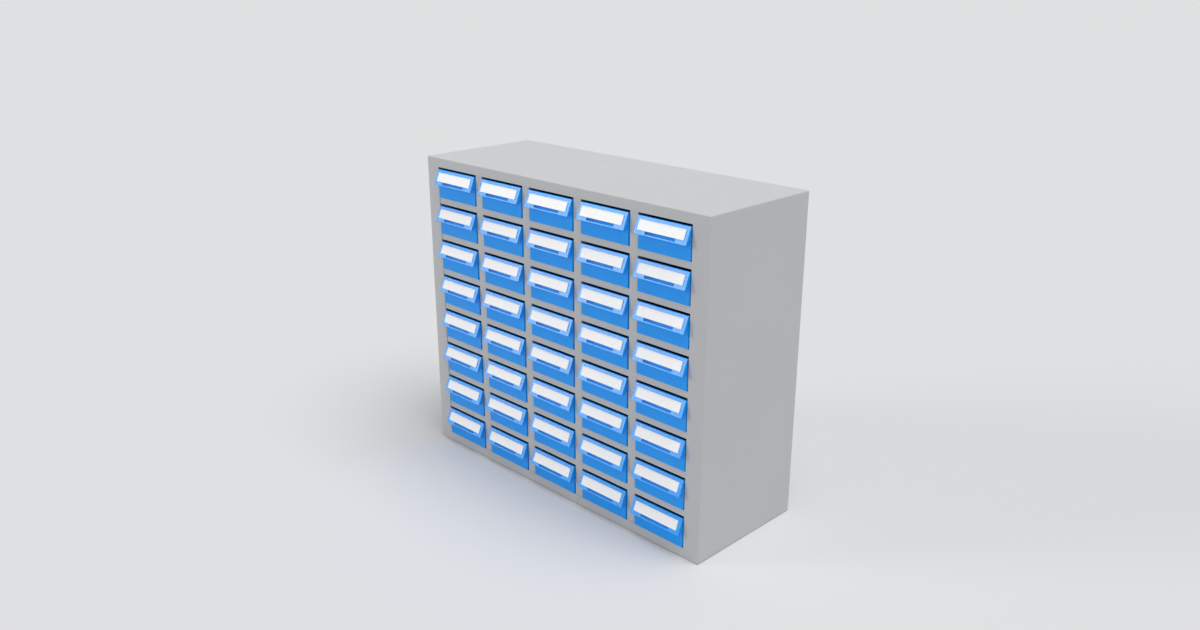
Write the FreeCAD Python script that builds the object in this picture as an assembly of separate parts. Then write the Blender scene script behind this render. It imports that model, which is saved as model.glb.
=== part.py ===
import FreeCAD, Part
import math
import os

# Drawer cabinet for small parts, in millimetres. +Z is up and the drawers open towards -Y.
# The origin is the centre of the footprint, handles included, at base level.

# Housing of folded sheet steel.
CABINET_W = 590.0
CABINET_D = 215.0
CABINET_H = 500.0
SHEET = 0.8
BEND_R = 1.6
REAR_FLANGE = 14.0

# Face grid with one opening per drawer, set behind the front flange of the housing.
COLUMNS = 5
ROWS = 8
OPENING_W = 95.0
OPENING_H = 50.0
POST_W = 15.0
RAIL_H = 10.0
GRID_LAP = 12.0

# Shelves and dividers are slotted into each other at half depth.
SEAT_GAP = 0.2
SHELF_STOP = 8.0
GUIDE_FLANGE = 12.0

# Drawer moulding. Heights count from the lower edge of its opening, depths from the face of the housing.
DRAWER_W = 92.3
DRAWER_REAR = 208.0
FRONT_H = 46.5
FRONT_T = 2.5
FRONT_PROUD = 0.8
RUN_GAP = 0.35
WALL = 1.8
FLOOR_T = 1.8
RIM_H = 42.0
SHOULDER_H = 53.0
SHOULDER_L = 40.0
HEEL_L = 14.0
HEEL_H = 8.0
REAR_BEVEL = 2.0
RIB_W = 1.2
RIB_PROUD = 1.2
RIB_SLOT = 1.8
RIB_BELOW_RIM = 6.0

# Handle plate that slopes out of the top edge of the drawer front, with a gusset at each end.
HANDLE_OUT = 10.0
HANDLE_DROP = 23.6
HANDLE_T = 2.2
GUSSET_T = 2.0
GUSSET_DROP = 16.3

# Window in the handle plate and the label plate that lies over its upper part.
# Both are measured down the slope from the top edge of the handle plate.
WINDOW_W = 52.0
WINDOW_TOP = 12.0
WINDOW_END = 23.4
WINDOW_R = 4.0
LABEL_W = 81.0
LABEL_TOP = 4.9
LABEL_END = 19.4
LABEL_T = 1.0

# Derived sizes.
PITCH_X = OPENING_W + POST_W
PITCH_Z = OPENING_H + RAIL_H
FIELD_W = COLUMNS * PITCH_X - POST_W
FIELD_H = ROWS * PITCH_Z - RAIL_H
FIELD_Z = (CABINET_H - FIELD_H) / 2
HANDLE_REACH = FRONT_PROUD + HANDLE_OUT
FACE_Y = (HANDLE_REACH - CABINET_D) / 2
REAR_Y = FACE_Y + CABINET_D
INNER_BEND_R = BEND_R - SHEET
GRID_BACK_Y = FACE_Y + 2 * SHEET
PANEL_FRONT_Y = REAR_Y - 2 * SHEET
SHELF_FRONT_Y = GRID_BACK_Y + SEAT_GAP
SHELF_REAR_Y = PANEL_FRONT_Y - SEAT_GAP
SLOT_Y = (SHELF_FRONT_Y + SHELF_REAR_Y) / 2
SLOPE_DEG = math.degrees(math.atan2(HANDLE_OUT, HANDLE_DROP))
SLOPE_L = math.hypot(HANDLE_OUT, HANDLE_DROP)
FRONT_TOP = RUN_GAP + FRONT_H

# Largest error of a length that counts as none.
TOLERANCE = 1e-6


def vector(x, y, z):
    return FreeCAD.Vector(x, y, z)


def block(x0, x1, y0, y1, z0, z1):
    return Part.makeBox(x1 - x0, y1 - y0, z1 - z0, vector(x0, y0, z0))


def side_profile(points, x0, x1):
    """A solid with a constant outline in Y and Z, from x0 to x1."""
    corners = [vector(x0, y, z) for y, z in points]
    face = Part.Face(Part.makePolygon(corners + corners[:1]))
    return face.extrude(vector(x1 - x0, 0, 0))


def plan_profile(points, z0, z1):
    """A solid with a constant outline in X and Y, from z0 to z1."""
    corners = [vector(x, y, z0) for x, y in points]
    face = Part.Face(Part.makePolygon(corners + corners[:1]))
    return face.extrude(vector(0, 0, z1 - z0))


def edges_along(shape, axis):
    """The straight edges of a shape that run along one axis, 0 for X, 1 for Y and 2 for Z."""
    found = []
    for edge in shape.Edges:
        step = edge.Vertexes[-1].Point - edge.Vertexes[0].Point
        if abs(abs(step[axis]) - step.Length) < TOLERANCE:
            found.append(edge)
    return found


def column_x(column):
    """Centre of a column of drawers, counted from the left."""
    return (column - (COLUMNS - 1) / 2) * PITCH_X


def row_z(row):
    """Lower edge of a row of openings, counted from the top."""
    return FIELD_Z + (ROWS - 1 - row) * PITCH_Z


def divider_x(index):
    """Middle of the post between two columns."""
    return (column_x(index) + column_x(index + 1)) / 2


def housing_shell():
    """Sheet box with bends of even thickness, a front flange round the drawer field and a rear flange."""
    half = CABINET_W / 2
    outside = block(-half, half, FACE_Y, REAR_Y, 0, CABINET_H)
    outside = outside.makeFillet(BEND_R, edges_along(outside, 1))
    inside = block(SHEET - half, half - SHEET, FACE_Y + SHEET, REAR_Y - SHEET, SHEET, CABINET_H - SHEET)
    inside = inside.makeFillet(INNER_BEND_R, edges_along(inside, 1))
    shell = outside.cut(inside)
    reach = FIELD_W / 2
    field = block(-reach, reach, FACE_Y - SHEET, FACE_Y + 2 * SHEET, FIELD_Z, FIELD_Z + FIELD_H)
    inset = SHEET + REAR_FLANGE
    rear = block(inset - half, half - inset, REAR_Y - 2 * SHEET, REAR_Y + SHEET, inset, CABINET_H - inset)
    return shell.cut(field).cut(rear)


def back_panel():
    """Sheet in front of the rear flange, with its corners rounded to clear the bends of the housing."""
    half = CABINET_W / 2 - SHEET - SEAT_GAP
    low = SHEET + SEAT_GAP
    panel = block(-half, half, PANEL_FRONT_Y, PANEL_FRONT_Y + SHEET, low, CABINET_H - low)
    return panel.makeFillet(INNER_BEND_R, edges_along(panel, 1))


def rectangle_wire(x0, x1, z0, z1, y):
    corners = [vector(x0, y, z0), vector(x1, y, z0), vector(x1, y, z1), vector(x0, y, z1)]
    return Part.makePolygon(corners + corners[:1])


def face_grid():
    """Sheet behind the front flange, punched with one opening per drawer."""
    y = FACE_Y + SHEET
    reach = FIELD_W / 2 + GRID_LAP
    plate = Part.Face(rectangle_wire(-reach, reach, FIELD_Z - GRID_LAP, FIELD_Z + FIELD_H + GRID_LAP, y))
    openings = []
    for row in range(ROWS):
        for column in range(COLUMNS):
            x = column_x(column) - OPENING_W / 2
            z = row_z(row)
            openings.append(Part.Face(rectangle_wire(x, x + OPENING_W, z, z + OPENING_H, y)))
    punched = plate.cut(Part.makeCompound(openings))
    return punched.extrude(vector(0, SHEET, 0)).Solids[0]


def shelf(row):
    """Folded shelf under one row, with a lip that backs the rail and a stop at the rear."""
    top = row_z(row)
    profile = [
        (SHELF_FRONT_Y, top),
        (SHELF_REAR_Y - SHEET, top),
        (SHELF_REAR_Y - SHEET, top + SHELF_STOP),
        (SHELF_REAR_Y, top + SHELF_STOP),
        (SHELF_REAR_Y, top - SHEET),
        (SHELF_FRONT_Y + SHEET, top - SHEET),
        (SHELF_FRONT_Y + SHEET, top - RAIL_H),
        (SHELF_FRONT_Y, top - RAIL_H),
    ]
    reach = FIELD_W / 2 - SEAT_GAP
    plate = side_profile(profile, -reach, reach)
    if row == ROWS - 1:
        return plate
    notch = POST_W / 2 + SEAT_GAP
    for index in range(COLUMNS - 1):
        x = divider_x(index)
        slot = block(x - notch, x + notch, FACE_Y, SLOT_Y + SEAT_GAP, top - PITCH_Z, top + PITCH_Z)
        plate = plate.cut(slot)
    return plate


def divider_profile(x):
    """Channel with its web behind a post and its two walls running back along the drawers."""
    outer = POST_W / 2
    inner = outer - SHEET
    rear = SHELF_REAR_Y - SHEET - SEAT_GAP
    web = SHELF_FRONT_Y + SHEET
    return [
        (x - outer, SHELF_FRONT_Y),
        (x + outer, SHELF_FRONT_Y),
        (x + outer, rear),
        (x + inner, rear),
        (x + inner, web),
        (x - inner, web),
        (x - inner, rear),
        (x - outer, rear),
    ]


def divider(index):
    """Upright between two columns, slotted from the rear for every shelf but the lowest that it stands on."""
    x = divider_x(index)
    channel = plan_profile(divider_profile(x), FIELD_Z + SEAT_GAP, FIELD_Z + FIELD_H + GRID_LAP)
    for row in range(ROWS - 1):
        top = row_z(row)
        low = top - SHEET - SEAT_GAP
        slot = block(x - POST_W, x + POST_W, SLOT_Y - SEAT_GAP, REAR_Y, low, top + SEAT_GAP)
        channel = channel.cut(slot)
    return channel


def side_guide(side):
    """Channel at the outer side of the drawer field, side is -1 for left and 1 for right."""
    inner = FIELD_W / 2
    rear = SHELF_REAR_Y - SHEET - SEAT_GAP
    profile = [
        (inner, SHELF_FRONT_Y),
        (inner + GUIDE_FLANGE, SHELF_FRONT_Y),
        (inner + GUIDE_FLANGE, SHELF_FRONT_Y + SHEET),
        (inner + SHEET, SHELF_FRONT_Y + SHEET),
        (inner + SHEET, rear - SHEET),
        (inner + GUIDE_FLANGE, rear - SHEET),
        (inner + GUIDE_FLANGE, rear),
        (inner, rear),
    ]
    mirrored = [(side * x, y) for x, y in profile]
    return plan_profile(mirrored, SHEET + SEAT_GAP, FIELD_Z + FIELD_H + GRID_LAP)


def drawer_tray():
    """Front, floor, side walls and rear wall, with raised rear shoulders and a chamfered heel."""
    shoulder = DRAWER_REAR - SHOULDER_L
    heel = DRAWER_REAR - HEEL_L
    back = FRONT_T - FRONT_PROUD
    outline = [
        (-FRONT_PROUD, RUN_GAP),
        (heel, RUN_GAP),
        (DRAWER_REAR, RUN_GAP + HEEL_H),
        (DRAWER_REAR, SHOULDER_H),
        (shoulder, SHOULDER_H),
        (shoulder, RIM_H),
        (back, RIM_H),
        (back, FRONT_TOP),
        (-FRONT_PROUD, FRONT_TOP),
    ]
    half = DRAWER_W / 2
    tray = side_profile(outline, -half, half)
    corners = [edge for edge in edges_along(tray, 2) if edge.BoundBox.YMin > DRAWER_REAR - WALL]
    tray = tray.makeChamfer(REAR_BEVEL, corners)
    floor = RUN_GAP + FLOOR_T
    end = DRAWER_REAR - WALL
    hollow_outline = [
        (back, floor),
        (heel, floor),
        (end, floor + HEEL_H),
        (end, SHOULDER_H + WALL),
        (back, SHOULDER_H + WALL),
    ]
    return tray.cut(side_profile(hollow_outline, WALL - half, half - WALL))


def divider_ribs():
    """Pairs of upright ribs on both side walls that hold a cross divider at mid length."""
    ribs = []
    middle = DRAWER_REAR / 2
    wall = DRAWER_W / 2 - WALL
    low = RUN_GAP + FLOOR_T
    high = RIM_H - RIB_BELOW_RIM
    for side in (-1, 1):
        for pair in (-1, 1):
            y = middle + pair * (RIB_SLOT + RIB_W) / 2
            x0, x1 = sorted((side * (wall - RIB_PROUD), side * wall))
            ribs.append(block(x0, x1, y - RIB_W / 2, y + RIB_W / 2, low, high))
    return ribs


def on_slope(shape):
    """Turn a shape from upright into the slope of the handle plate, whose top edge is its origin."""
    turned = shape.copy()
    turned.rotate(vector(0, 0, 0), vector(1, 0, 0), -SLOPE_DEG)
    return turned.translated(vector(0, -FRONT_PROUD, FRONT_TOP))


def handle_plate():
    """Sloping plate with its end gussets and the rounded window."""
    half = DRAWER_W / 2
    plate = on_slope(block(-half, half, 0, HANDLE_T, -SLOPE_L, 0))
    lip_y = -FRONT_PROUD - HANDLE_OUT
    lip_z = FRONT_TOP - HANDLE_DROP
    slope = math.radians(SLOPE_DEG)
    gusset_outline = [
        (-FRONT_PROUD, FRONT_TOP),
        (lip_y, lip_z),
        (lip_y + HANDLE_T * math.cos(slope), lip_z - HANDLE_T * math.sin(slope)),
        (-FRONT_PROUD, FRONT_TOP - GUSSET_DROP),
    ]
    window = block(-WINDOW_W / 2, WINDOW_W / 2, -HANDLE_T, 2 * HANDLE_T, -WINDOW_END, -WINDOW_TOP)
    arch = [edge for edge in edges_along(window, 1) if edge.BoundBox.ZMin > -WINDOW_END]
    window = window.makeFillet(WINDOW_R, arch)
    ahead = block(-half, half, lip_y - HANDLE_T, -FRONT_PROUD, 0, FRONT_TOP)
    handle = plate.common(ahead).cut(on_slope(window))
    for x in (-half, half - GUSSET_T):
        handle = handle.fuse(side_profile(gusset_outline, x, x + GUSSET_T))
    return handle


def label_plate():
    half = LABEL_W / 2
    return on_slope(block(-half, half, -LABEL_T, 0, -LABEL_END, -LABEL_TOP))


def drawer():
    """One drawer at the middle of its opening: the moulding and its label plate."""
    moulding = drawer_tray().multiFuse(divider_ribs() + [handle_plate()]).removeSplitter()
    return Part.makeCompound(moulding.Solids + label_plate().Solids)


def all_nodes():
    nodes = {
        "housing_shell": housing_shell(),
        "face_grid": face_grid(),
        "back_panel": back_panel(),
        "side_guide_left": side_guide(-1),
        "side_guide_right": side_guide(1),
    }
    for index in range(COLUMNS - 1):
        nodes["divider_%d" % (index + 1)] = divider(index)
    for row in range(ROWS):
        nodes["shelf_%d" % (row + 1)] = shelf(row)
    master = drawer()
    for row in range(ROWS):
        for column in range(COLUMNS):
            place = vector(column_x(column), FACE_Y, row_z(row))
            nodes["drawer_r%d_c%d" % (row + 1, column + 1)] = master.translated(place)
    return nodes


os.makedirs("parts", exist_ok=True)
for name, shape in all_nodes().items():
    shape.exportStep("parts/%s.step" % name)
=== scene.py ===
import bpy
import bmesh
import math
from mathutils import Matrix, Vector


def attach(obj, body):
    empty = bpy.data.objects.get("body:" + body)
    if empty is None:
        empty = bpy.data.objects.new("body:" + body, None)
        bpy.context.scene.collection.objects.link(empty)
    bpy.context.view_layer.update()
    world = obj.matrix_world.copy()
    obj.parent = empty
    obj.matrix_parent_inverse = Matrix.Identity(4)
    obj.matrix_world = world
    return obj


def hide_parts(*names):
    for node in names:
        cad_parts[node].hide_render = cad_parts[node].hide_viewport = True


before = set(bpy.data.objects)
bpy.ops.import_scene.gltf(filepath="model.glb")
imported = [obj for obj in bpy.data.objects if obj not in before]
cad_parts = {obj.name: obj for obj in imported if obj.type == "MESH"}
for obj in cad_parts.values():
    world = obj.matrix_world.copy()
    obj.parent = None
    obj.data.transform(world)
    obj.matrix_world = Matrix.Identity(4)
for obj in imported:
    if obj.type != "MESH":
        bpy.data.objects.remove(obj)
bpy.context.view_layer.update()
scene = bpy.context.scene

# Sizes of the solids, in metres. The drawers open towards -Y.
ROWS = 8
COLUMNS = 5
PITCH_X = 0.110
PITCH_Z = 0.060
FIELD_Z = 0.015
CABINET_W = 0.590
CABINET_D = 0.215
CABINET_H = 0.500
SHEET = 0.0008
REAR_FLANGE = 0.014
SHELF_STOP = 0.008
FRONT_PROUD = 0.0008
FRONT_TOP = 0.04685
HANDLE_OUT = 0.010
HANDLE_DROP = 0.0236
LABEL_W = 0.081
LABEL_TOP = 0.0049
LABEL_END = 0.0194
LABEL_T = 0.001
FACE_Y = (FRONT_PROUD + HANDLE_OUT - CABINET_D) / 2
REAR_Y = FACE_Y + CABINET_D
SLOPE = math.atan2(HANDLE_OUT, HANDLE_DROP)

# Rounding of edges, as its width and its number of steps.
MOULDED_EDGE = (0.00045, 2)
FRONT_BEND = (0.0009, 3)
SHEET_EDGE = (0.00018, 1)
PUNCHED_EDGE = (0.0002, 1)
LABEL_CORNER = (0.0007, 4)
LABEL_EDGE = (0.0001, 2)
ROUND_PROFILE = 0.5

# The front bends of the housing lie within these distances of its outside and of its face.
BEND_REACH = 0.002
FACE_REACH = 1e-5

# Label plate: the width of its rim, and the width and depth of the step down to its card.
RIM_W = 0.0011
STEP_W = 0.00012
STEP_DEPTH = 0.0002

# Spot welds: how many along each side of the rear flange, and the half section of the lens
# that cuts the dimple of one, as radius and height above the sheet.
WELDS_ACROSS = 7
WELDS_UP = 6
WELD_SIDES = 22
WELD_SECTION = [
    (0, 0.0003),
    (0.0031, 0.0003),
    (0.0027, 0),
    (0.00245, -0.00013),
    (0.002, -0.00019),
    (0, -0.0002),
]

# Points nearer than JOIN are one, faces that turn by less than FLAT are one, and an edge that turns
# by more than SHARP is sharp. A face counts in a normal with its area to the power of LEAN.
JOIN = 2e-6
FLAT = math.radians(1)
SHARP = math.radians(28)
LEAN = 2

# Finishes: two tones in linear light, limits of the roughness, and the strength of the gloss.
COAT_TONES = ((0.511, 0.517, 0.528), (0.522, 0.528, 0.539))
COAT_ROUGHNESS = (0.40, 0.54)
COAT_GLOSS = 0.45
BLUE_TONES = ((0.001, 0.326, 0.960), (0.003, 0.352, 0.990))
BLUE_ROUGHNESS = (0.19, 0.25)
BLUE_GLOSS = 0.4
CARD_TONES = ((0.89, 0.89, 0.89), (0.91, 0.91, 0.91))
CARD_ROUGHNESS = (0.32, 0.40)
RIM_TONES = ((0.88, 0.88, 0.88), (0.905, 0.905, 0.90))
RIM_ROUGHNESS = (0.34, 0.44)

# Bumps of the finishes, as strength and height.
COAT_PEEL = (0.80, 0.0002)
COAT_GRAIN = (0.42, 0.0001)
BLUE_GRAIN = (0.33, 0.0001)
BLUE_WAVE = (0.40, 0.0004)
CARD_FIBRE = (0.10, 0.0001)
RIM_GRAIN = (0.08, 0.0001)

# Textures: how flow marks and card fibres are scaled along X, Y and Z, and the middle range of a noise.
FLOW_STRETCH = (1.0, 0.35, 1.6)
FIBRE_STRETCH = (0.4, 1.0, 1.0)
NOISE_LOW = 0.3
NOISE_HIGH = 0.7

# Floor, a little below the base so that the two do not meet.
FLOOR_COLOR = (0.668, 0.673, 0.678, 1)
FLOOR_ROUGHNESS = 0.9
FLOOR_GLOSS = 0.0
FLOOR_R = 60
FLOOR_SIDES = 96
FLOOR_GAP = 0.0004

# Light: the world as it lights and as it is seen, and the lamps with the direction towards each.
WORLD_LIT = (0.745, 0.752, 0.76, 1)
WORLD_STRENGTH = 0.42
WORLD_SEEN = (0.745, 0.753, 0.761, 1)
OVERHEAD = {"toward": (0.35, 0.0, 0.937), "strength": 2.43, "angle": math.radians(50)}
FRONT_LEFT = {"toward": (-0.66, -0.70, 0.29), "strength": 0.78, "angle": math.radians(21)}

# Camera of the photograph, with its lens and sensor in millimetres.
CAMERA_PLACE = (1.07934, -1.07845, 0.80219)
CAMERA_AZIMUTH = math.radians(45.044)
CAMERA_ELEVATION = math.radians(19.122)
CAMERA_LENS = 30.841
SENSOR_W = 36


def node_tree(name):
    """A new material with its nodes and its main shader."""
    material = bpy.data.materials.new(name)
    material.use_nodes = True
    tree = material.node_tree
    return material, tree, tree.nodes["Principled BSDF"]


def add(tree, kind, **values):
    """A new node with some of its properties set."""
    node = tree.nodes.new(kind)
    for key, value in values.items():
        setattr(node, key, value)
    return node


def object_place(tree):
    """Places on an object, in metres."""
    return add(tree, "ShaderNodeTexCoord").outputs["Object"]


def stretched(tree, place, scale):
    """Places scaled along each axis."""
    node = add(tree, "ShaderNodeMapping")
    node.inputs["Scale"].default_value = scale
    tree.links.new(place, node.inputs["Vector"])
    return node.outputs["Vector"]


def noise(tree, place, scale, detail, roughness=0.5):
    """A noise whose scale is about its number of waves in a metre."""
    node = add(tree, "ShaderNodeTexNoise")
    node.inputs["Scale"].default_value = scale
    node.inputs["Detail"].default_value = detail
    node.inputs["Roughness"].default_value = roughness
    tree.links.new(place, node.inputs["Vector"])
    return node.outputs["Fac"]


def spread(tree, value, low, high):
    """Map the middle of a noise to a range of values."""
    node = add(tree, "ShaderNodeMapRange")
    node.inputs["From Min"].default_value = NOISE_LOW
    node.inputs["From Max"].default_value = NOISE_HIGH
    node.inputs["To Min"].default_value = low
    node.inputs["To Max"].default_value = high
    tree.links.new(value, node.inputs["Value"])
    return node.outputs["Result"]


def two_tone(tree, factor, first, second):
    """A mix of two colours."""
    node = add(tree, "ShaderNodeMix", data_type="RGBA")
    for socket in node.inputs:
        if socket.identifier == "A_Color":
            socket.default_value = (*first, 1)
        if socket.identifier == "B_Color":
            socket.default_value = (*second, 1)
        if socket.identifier == "Factor_Float":
            tree.links.new(factor, socket)
    return [socket for socket in node.outputs if socket.identifier == "Result_Color"][0]


def tint(tree, shader, value, tones):
    """Colour a shader between two tones."""
    tone = two_tone(tree, spread(tree, value, 0.0, 1.0), *tones)
    tree.links.new(tone, shader.inputs["Base Color"])


def roughen(tree, shader, value, limits):
    """Vary the roughness of a shader between two limits."""
    tree.links.new(spread(tree, value, *limits), shader.inputs["Roughness"])


def bump(tree, shader, layers):
    """Chain bump nodes, one for each height, strength and distance."""
    normal = None
    for height, strength, distance in layers:
        node = add(tree, "ShaderNodeBump")
        node.inputs["Strength"].default_value = strength
        node.inputs["Distance"].default_value = distance
        tree.links.new(height, node.inputs["Height"])
        if normal is not None:
            tree.links.new(normal, node.inputs["Normal"])
        normal = node.outputs["Normal"]
    tree.links.new(normal, shader.inputs["Normal"])


def powder_coat():
    """Light grey powder coat on sheet steel, with orange peel, a fine grain and faint handling marks."""
    material, tree, shader = node_tree("powder_coat")
    place = object_place(tree)
    cloud = noise(tree, place, scale=7, detail=3)
    peel = noise(tree, place, scale=700, detail=2)
    grain = noise(tree, place, scale=2600, detail=1)
    marks = noise(tree, place, scale=38, detail=6, roughness=0.7)
    tint(tree, shader, cloud, COAT_TONES)
    roughen(tree, shader, marks, COAT_ROUGHNESS)
    shader.inputs["Specular IOR Level"].default_value = COAT_GLOSS
    bump(tree, shader, [(peel, *COAT_PEEL), (grain, *COAT_GRAIN)])
    return material


def moulded_blue():
    """Blue polypropylene with a fine spark-eroded grain, slight flow marks and a faint waviness."""
    material, tree, shader = node_tree("moulded_blue")
    place = object_place(tree)
    flow = noise(tree, stretched(tree, place, FLOW_STRETCH), scale=26, detail=4, roughness=0.6)
    grain = noise(tree, place, scale=3600, detail=2)
    wave = noise(tree, place, scale=90, detail=2)
    tint(tree, shader, flow, BLUE_TONES)
    roughen(tree, shader, flow, BLUE_ROUGHNESS)
    shader.inputs["Specular IOR Level"].default_value = BLUE_GLOSS
    bump(tree, shader, [(grain, *BLUE_GRAIN), (wave, *BLUE_WAVE)])
    return material


def label_card():
    """White card with a faint fibre."""
    material, tree, shader = node_tree("label_card")
    place = object_place(tree)
    fibre = noise(tree, stretched(tree, place, FIBRE_STRETCH), scale=1500, detail=5, roughness=0.7)
    cloud = noise(tree, place, scale=60, detail=2)
    tint(tree, shader, cloud, CARD_TONES)
    roughen(tree, shader, fibre, CARD_ROUGHNESS)
    bump(tree, shader, [(fibre, *CARD_FIBRE)])
    return material


def label_rim():
    """White plastic of the label plate."""
    material, tree, shader = node_tree("label_rim")
    place = object_place(tree)
    grain = noise(tree, place, scale=1800, detail=2)
    cloud = noise(tree, place, scale=45, detail=2)
    tint(tree, shader, cloud, RIM_TONES)
    roughen(tree, shader, grain, RIM_ROUGHNESS)
    bump(tree, shader, [(grain, *RIM_GRAIN)])
    return material


def joined_copy(node):
    """A working copy of a CAD node's mesh with its points joined and its flat faces merged."""
    work = bmesh.new()
    work.from_mesh(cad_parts[node].data)
    bmesh.ops.remove_doubles(work, verts=work.verts, dist=JOIN)
    bmesh.ops.dissolve_limit(work, angle_limit=FLAT, verts=work.verts, edges=work.edges)
    return work


def islands(work):
    """The separate solids in a mesh, as lists of points."""
    seen = set()
    found = []
    for first in work.verts:
        if first in seen:
            continue
        seen.add(first)
        group = [first]
        for vert in group:
            for edge in vert.link_edges:
                other = edge.other_vert(vert)
                if other not in seen:
                    seen.add(other)
                    group.append(other)
        found.append(group)
    return found


def bevel(work, edges, rounding, clamp=False):
    """Round some edges, and where clamp is set, only as far as their neighbours leave room."""
    width, segments = rounding
    bmesh.ops.bevel(work, geom=edges, offset=width, offset_type="OFFSET", segments=segments,
                    profile=ROUND_PROFILE, affect="EDGES", clamp_overlap=clamp)


def round_edges(work, rounding, choose=None):
    """Round the sharp edges of a mesh, or those of them that choose picks."""
    joints = [edge for edge in work.edges if len(edge.link_faces) == 2]
    edges = [edge for edge in joints if edge.calc_face_angle() > SHARP]
    if choose:
        edges = [edge for edge in edges if choose(edge)]
    bevel(work, edges, rounding, clamp=True)


def finished(work, name):
    """A mesh of working data, with normals that lean to the largest faces so that those look flat."""
    bmesh.ops.remove_doubles(work, verts=work.verts, dist=JOIN)
    bmesh.ops.recalc_face_normals(work, faces=work.faces)
    work.verts.index_update()
    largest = max(face.calc_area() for face in work.faces)
    normals = [Vector() for _ in work.verts]
    for face in work.faces:
        share = face.calc_area() / largest
        for vert in face.verts:
            normals[vert.index] += face.normal * share ** LEAN
    wide = [face for face in work.faces if len(face.verts) > 4]
    bmesh.ops.triangulate(work, faces=wide, ngon_method="BEAUTY")
    mesh = bpy.data.meshes.new(name)
    work.to_mesh(mesh)
    work.free()
    mesh.shade_smooth()
    mesh.normals_split_custom_set_from_vertices([normal.normalized() for normal in normals])
    return mesh


def piece(name, mesh, materials, place=None):
    """An object with a mesh, which other objects may share, and its materials."""
    if not mesh.materials:
        for material in materials:
            mesh.materials.append(material)
    made = bpy.data.objects.new(name, mesh)
    scene.collection.objects.link(made)
    if place is not None:
        made.matrix_world = place
    return made


def stand_for(made, node, body):
    """Let a piece take the place of a CAD node on its body."""
    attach(made, body)
    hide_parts(node)


def column_x(column):
    """Centre of a column of drawers, counted from the left."""
    return (column - (COLUMNS - 1) / 2) * PITCH_X


def row_z(row):
    """Lower edge of a row of openings, counted from the top."""
    return FIELD_Z + (ROWS - 1 - row) * PITCH_Z


def drawer_mesh():
    """The moulding of the first drawer with rounded edges, without its label plate."""
    work = joined_copy("drawer_r1_c1")
    plate = min(islands(work), key=len)
    bmesh.ops.delete(work, geom=plate, context="VERTS")
    round_edges(work, MOULDED_EDGE)
    return finished(work, "drawer_moulding")


def depth(edge):
    """How far an edge runs along Y."""
    return abs(edge.verts[0].co.y - edge.verts[1].co.y)


def label_mesh():
    """Label plate with a sunk card field, upright below the top edge of the handle plate."""
    work = bmesh.new()
    middle = (LABEL_TOP + LABEL_END) / 2
    box = bmesh.ops.create_cube(work, size=1)["verts"]
    bmesh.ops.scale(work, vec=(LABEL_W, LABEL_T, LABEL_END - LABEL_TOP), verts=box)
    bmesh.ops.translate(work, vec=(0, -LABEL_T / 2, -middle), verts=box)
    work.normal_update()
    corners = [edge for edge in work.edges if depth(edge) > LABEL_T / 2]
    card = [min(work.faces, key=lambda face: face.normal.y)]
    bmesh.ops.inset_region(work, faces=card, thickness=RIM_W)
    bmesh.ops.inset_region(work, faces=card, thickness=STEP_W, depth=-STEP_DEPTH)
    for face in card:
        face.material_index = 1
    bevel(work, corners, LABEL_CORNER)
    work.normal_update()
    sharp = [edge for edge in work.edges if edge.calc_face_angle() > SHARP]
    bevel(work, [edge for edge in sharp if depth(edge) < JOIN], LABEL_EDGE)
    return finished(work, "label_plate")


def slope_place(row, column):
    """Place of the top edge of a handle plate, turned into its slope."""
    top_edge = (column_x(column), FACE_Y - FRONT_PROUD, row_z(row) + FRONT_TOP)
    return Matrix.Translation(top_edge) @ Matrix.Rotation(-SLOPE, 4, "X")


def make_drawers(blue, card, rim):
    """The drawers, which share one moulding and one label plate."""
    moulding_mesh = drawer_mesh()
    plate_mesh = label_mesh()
    for row in range(ROWS):
        for column in range(COLUMNS):
            name = "r%d_c%d" % (row + 1, column + 1)
            drawer = "drawer_" + name
            move = Matrix.Translation((column * PITCH_X, 0, -row * PITCH_Z))
            moulding = piece("moulding_" + name, moulding_mesh, [blue], move)
            stand_for(moulding, drawer, drawer)
            label = piece("label_" + name, plate_mesh, [rim, card], slope_place(row, column))
            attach(label, drawer)


def flange_welds():
    """Spot welds along the middle of the rear flange, as x and z."""
    reach = CABINET_W / 2 - SHEET - REAR_FLANGE / 2
    low = SHEET + REAR_FLANGE / 2
    high = CABINET_H - low
    places = []
    for step in range(WELDS_ACROSS):
        x = reach * (2 * step / (WELDS_ACROSS - 1) - 1)
        places += [(x, low), (x, high)]
    for step in range(1, WELDS_UP - 1):
        z = low + (high - low) * step / (WELDS_UP - 1)
        places += [(-reach, z), (reach, z)]
    return places


def shelf_welds():
    """Spot welds that hold the stop of each shelf to the back panel, one behind each drawer."""
    places = []
    for row in range(ROWS):
        for column in range(COLUMNS):
            places.append((column_x(column), row_z(row) + SHELF_STOP / 2))
    return places


def weld_lenses(places, face_y):
    """A lens at each spot weld, which reaches as deep into the sheet as the weld's dimple."""
    work = bmesh.new()
    for x, z in places:
        verts = [work.verts.new((x + radius, face_y + height, z)) for radius, height in WELD_SECTION]
        edges = [work.edges.new(pair) for pair in zip(verts, verts[1:])]
        bmesh.ops.spin(work, geom=verts + edges, cent=(x, face_y, z), axis=(0, 1, 0),
                       steps=WELD_SIDES, angle=2 * math.pi)
    bmesh.ops.remove_doubles(work, verts=work.verts, dist=JOIN)
    bmesh.ops.recalc_face_normals(work, faces=work.faces)
    return work


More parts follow.
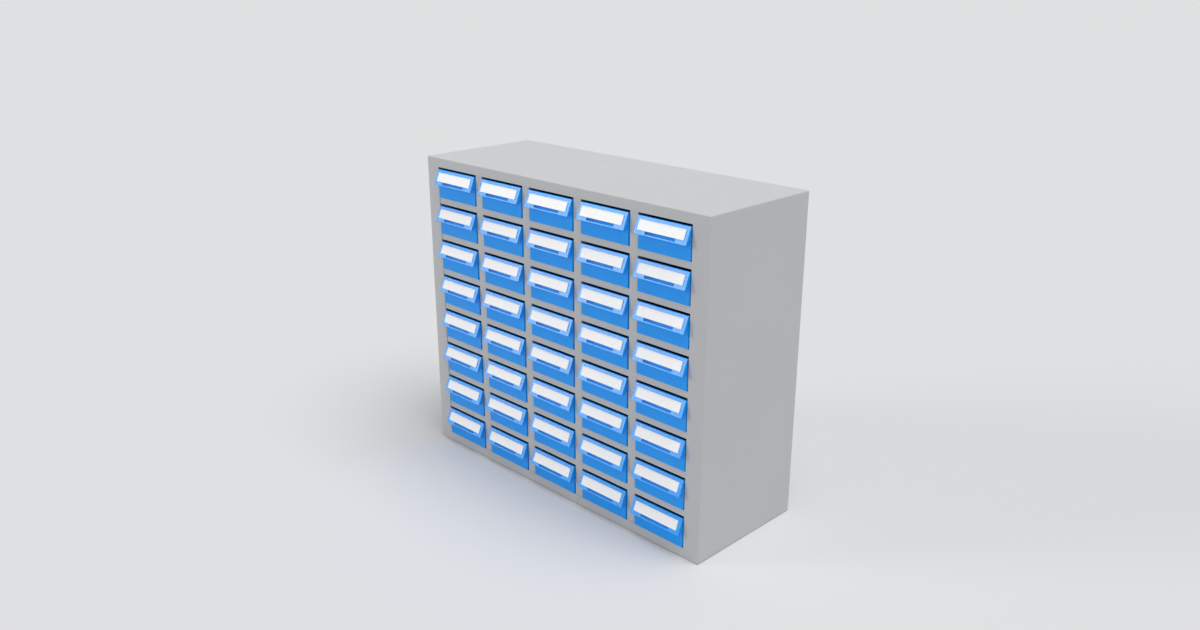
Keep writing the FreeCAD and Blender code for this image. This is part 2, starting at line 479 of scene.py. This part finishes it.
def cut(work, tool):
    """A working copy of one mesh with another taken out of it."""
    holders = []
    for data in (work, tool):
        mesh = bpy.data.meshes.new("cut")
        data.to_mesh(mesh)
        data.free()
        holder = bpy.data.objects.new("cut", mesh)
        scene.collection.objects.link(holder)
        holders.append(holder)
    difference = holders[0].modifiers.new("difference", "BOOLEAN")
    difference.operation = "DIFFERENCE"
    difference.solver = "EXACT"
    difference.object = holders[1]
    graph = bpy.context.evaluated_depsgraph_get()
    result = bmesh.new()
    result.from_object(holders[0], graph)
    # Removing a mesh removes its object too.
    for holder in holders:
        bpy.data.meshes.remove(holder.data)
    return result


def near_outside(point):
    """Whether a point is close to the left, right, lower or upper side of the housing."""
    from_side = CABINET_W / 2 - abs(point.x)
    return min(from_side, point.z, CABINET_H - point.z) < BEND_REACH


def on_front_bend(edge):
    """Whether an edge lies in the face of the housing, along its outside."""
    points = [vert.co for vert in edge.verts]
    return all(point.y <= FACE_Y + FACE_REACH and near_outside(point) for point in points)


def make_housing(paint):
    """Housing shell with a soft bend along its front edges, rounded sheet edges and dimpled welds."""
    work = cut(joined_copy("housing_shell"), weld_lenses(flange_welds(), REAR_Y))
    round_edges(work, FRONT_BEND, on_front_bend)
    round_edges(work, SHEET_EDGE)
    shell = piece("shell", finished(work, "shell"), [paint])
    stand_for(shell, "housing_shell", "cabinet")


def make_back(paint):
    """Back panel with the dimples of the welds that hold the shelves."""
    work = cut(joined_copy("back_panel"), weld_lenses(shelf_welds(), REAR_Y - SHEET))
    panel = piece("panel", finished(work, "panel"), [paint])
    stand_for(panel, "back_panel", "cabinet")


def make_grid(paint):
    """Face grid with rounded edges round its openings."""
    work = joined_copy("face_grid")
    round_edges(work, PUNCHED_EDGE)
    grid = piece("grid", finished(work, "grid"), [paint])
    stand_for(grid, "face_grid", "cabinet")


def paint_inner_nodes(paint):
    """The sheets inside keep their CAD shapes and get the same coat."""
    for name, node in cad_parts.items():
        if name.startswith(("shelf_", "divider_", "side_guide_")):
            node.data.materials.clear()
            node.data.materials.append(paint)


def make_floor():
    """A wide pale disc under the object."""
    work = bmesh.new()
    bmesh.ops.create_circle(work, cap_ends=True, segments=FLOOR_SIDES, radius=FLOOR_R)
    mesh = bpy.data.meshes.new("floor")
    work.to_mesh(mesh)
    work.free()
    material, _, shader = node_tree("floor")
    shader.inputs["Base Color"].default_value = FLOOR_COLOR
    shader.inputs["Roughness"].default_value = FLOOR_ROUGHNESS
    shader.inputs["Specular IOR Level"].default_value = FLOOR_GLOSS
    floor = piece("floor", mesh, [material], Matrix.Translation((0, 0, -FLOOR_GAP)))


def add_sun(name, toward, strength, angle):
    """A lamp that shines from one direction, softened by its angle."""
    data = bpy.data.lights.new(name, "SUN")
    data.energy = strength
    data.angle = angle
    lamp = bpy.data.objects.new(name, data)
    lamp.rotation_euler = Vector(toward).to_track_quat("Z", "Y").to_euler()
    scene.collection.objects.link(lamp)


def make_light():
    """Two soft lamps and an even world, which the camera and mirror rays see as pale as the floor."""
    world = bpy.data.worlds.new("studio")
    scene.world = world
    world.use_nodes = True
    tree = world.node_tree
    lit = tree.nodes["Background"]
    lit.inputs["Color"].default_value = WORLD_LIT
    lit.inputs["Strength"].default_value = WORLD_STRENGTH
    seen = add(tree, "ShaderNodeBackground")
    seen.inputs["Color"].default_value = WORLD_SEEN
    rays = add(tree, "ShaderNodeLightPath")
    direct = rays.outputs["Is Camera Ray"]
    for kind in ("Is Glossy Ray", "Is Transmission Ray"):
        either = add(tree, "ShaderNodeMath", operation="MAXIMUM")
        tree.links.new(direct, either.inputs[0])
        tree.links.new(rays.outputs[kind], either.inputs[1])
        direct = either.outputs["Value"]
    choice = add(tree, "ShaderNodeMixShader")
    tree.links.new(direct, choice.inputs["Fac"])
    tree.links.new(lit.outputs["Background"], choice.inputs[1])
    tree.links.new(seen.outputs["Background"], choice.inputs[2])
    tree.links.new(choice.outputs["Shader"], tree.nodes["World Output"].inputs["Surface"])
    add_sun("overhead", **OVERHEAD)
    add_sun("front_left", **FRONT_LEFT)


def make_camera():
    """The camera at the photograph's viewing angle."""
    data = bpy.data.cameras.new("camera")
    data.lens = CAMERA_LENS
    data.sensor_width = SENSOR_W
    data.sensor_fit = "HORIZONTAL"
    camera = bpy.data.objects.new("camera", data)
    camera.location = CAMERA_PLACE
    camera.rotation_euler = (math.pi / 2 - CAMERA_ELEVATION, 0, CAMERA_AZIMUTH)
    scene.collection.objects.link(camera)
    scene.camera = camera


scene.view_settings.view_transform = "Standard"
make_camera()
make_light()
make_floor()
paint = powder_coat()
make_housing(paint)
make_back(paint)
make_grid(paint)
paint_inner_nodes(paint)
make_drawers(moulded_blue(), label_card(), label_rim())
